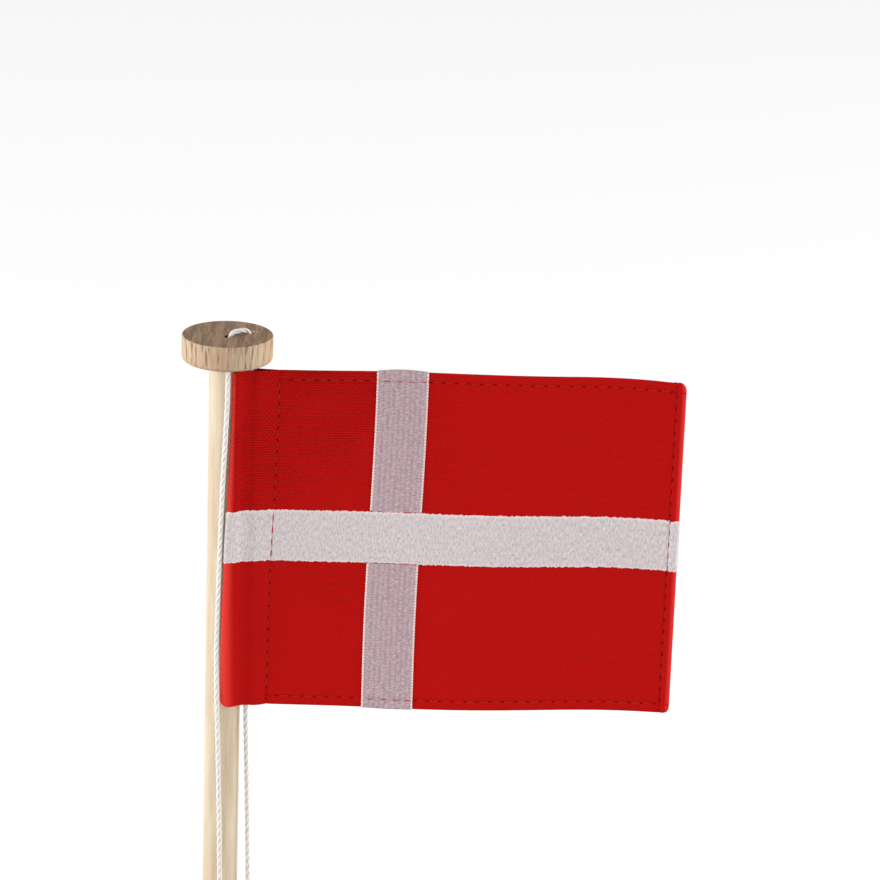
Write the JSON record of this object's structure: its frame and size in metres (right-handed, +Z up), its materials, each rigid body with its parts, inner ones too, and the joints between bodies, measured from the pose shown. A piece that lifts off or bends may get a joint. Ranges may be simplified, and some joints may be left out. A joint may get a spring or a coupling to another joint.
{
  "type": "table flag",
  "caption": "Table flag: hemmed red cloth flag with an embroidered white Nordic cross, on a cord halyard over a turned wooden pole and base.",
  "frame": {"origin": "the pole's axis at the base's underside", "axes": "+Z up along the pole, +X from the pole towards the flag's fly, -Y towards the side with the front strand of the halyard"},
  "size_m": [0.2, 0.096, 0.3922],
  "materials": {
    "oak_base": "turned oak, fine sanded, matt oil",
    "pale_wood": "smooth pale dowel, faint straight grain",
    "oak_truck": "oak cut across the grain, open pores",
    "cord": "white laid cotton cord",
    "red_cloth": "plain-woven red cotton",
    "white_embroidery": "white embroidery thread in close rows",
    "red_thread": "red sewing thread"
  },
  "bodies": {
    "stand": {"base": "oak_base", "pole": "pale_wood", "truck": "oak_truck", "halyard": "cord", "halyard_knot": "cord"},
    "flag": {"flag_cloth": "red_cloth", "cross_bar_across": "white_embroidery", "cross_bar_upright": "white_embroidery", "hem_thread": "red_thread", "sleeve_thread": "red_thread"}
  },
  "joints": [
    {"name": "hoist", "type": "slide", "parent": "stand", "child": "flag", "axis": [0, 0, 1], "range_m": [-0.238, 0]}
  ]
}
